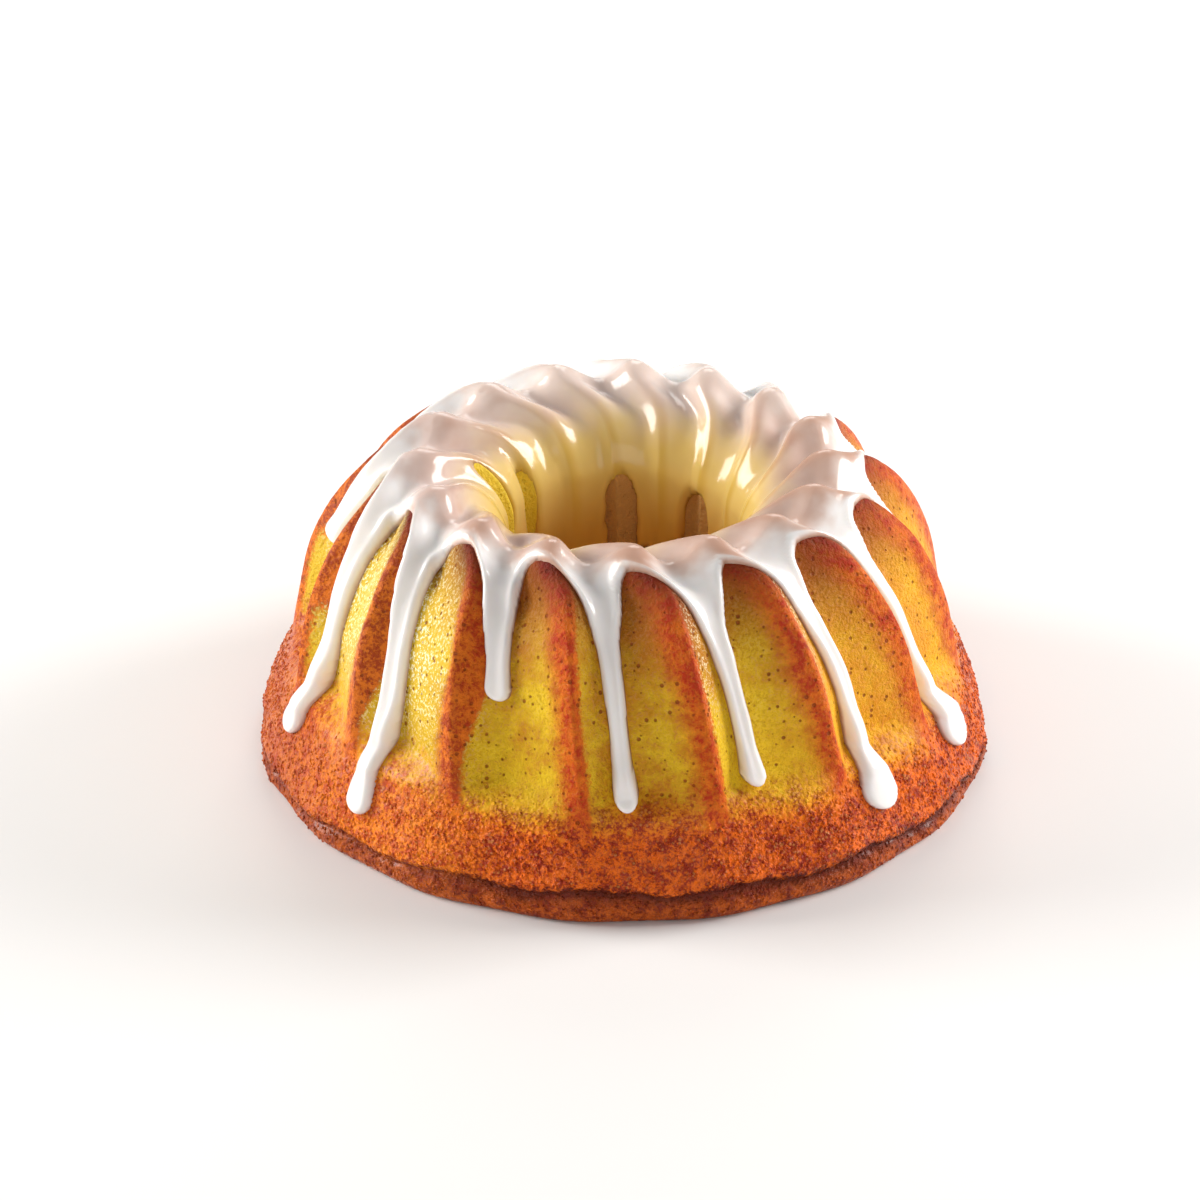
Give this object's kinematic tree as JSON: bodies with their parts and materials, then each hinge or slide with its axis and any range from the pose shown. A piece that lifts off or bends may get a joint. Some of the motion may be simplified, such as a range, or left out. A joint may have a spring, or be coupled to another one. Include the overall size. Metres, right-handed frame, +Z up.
{
  "type": "bundt cake",
  "caption": "Tall ring cake with leaning fluted ribs, a round hole through the middle and a plain skirt at its base.",
  "frame": {"origin": "centre of the cake's flat base, on the axis of the hole", "axes": "+Z up along the axis of the hole, -Y towards the side seen first, +X to its right"},
  "size_m": [0.2368, 0.2368, 0.1017],
  "materials": {
    "cake_crust": "matte, baked crumb",
    "sugar_glaze": "glossy, set icing"
  },
  "bodies": {
    "root": {"cake": "cake_crust"}
  },
  "joints": []
}
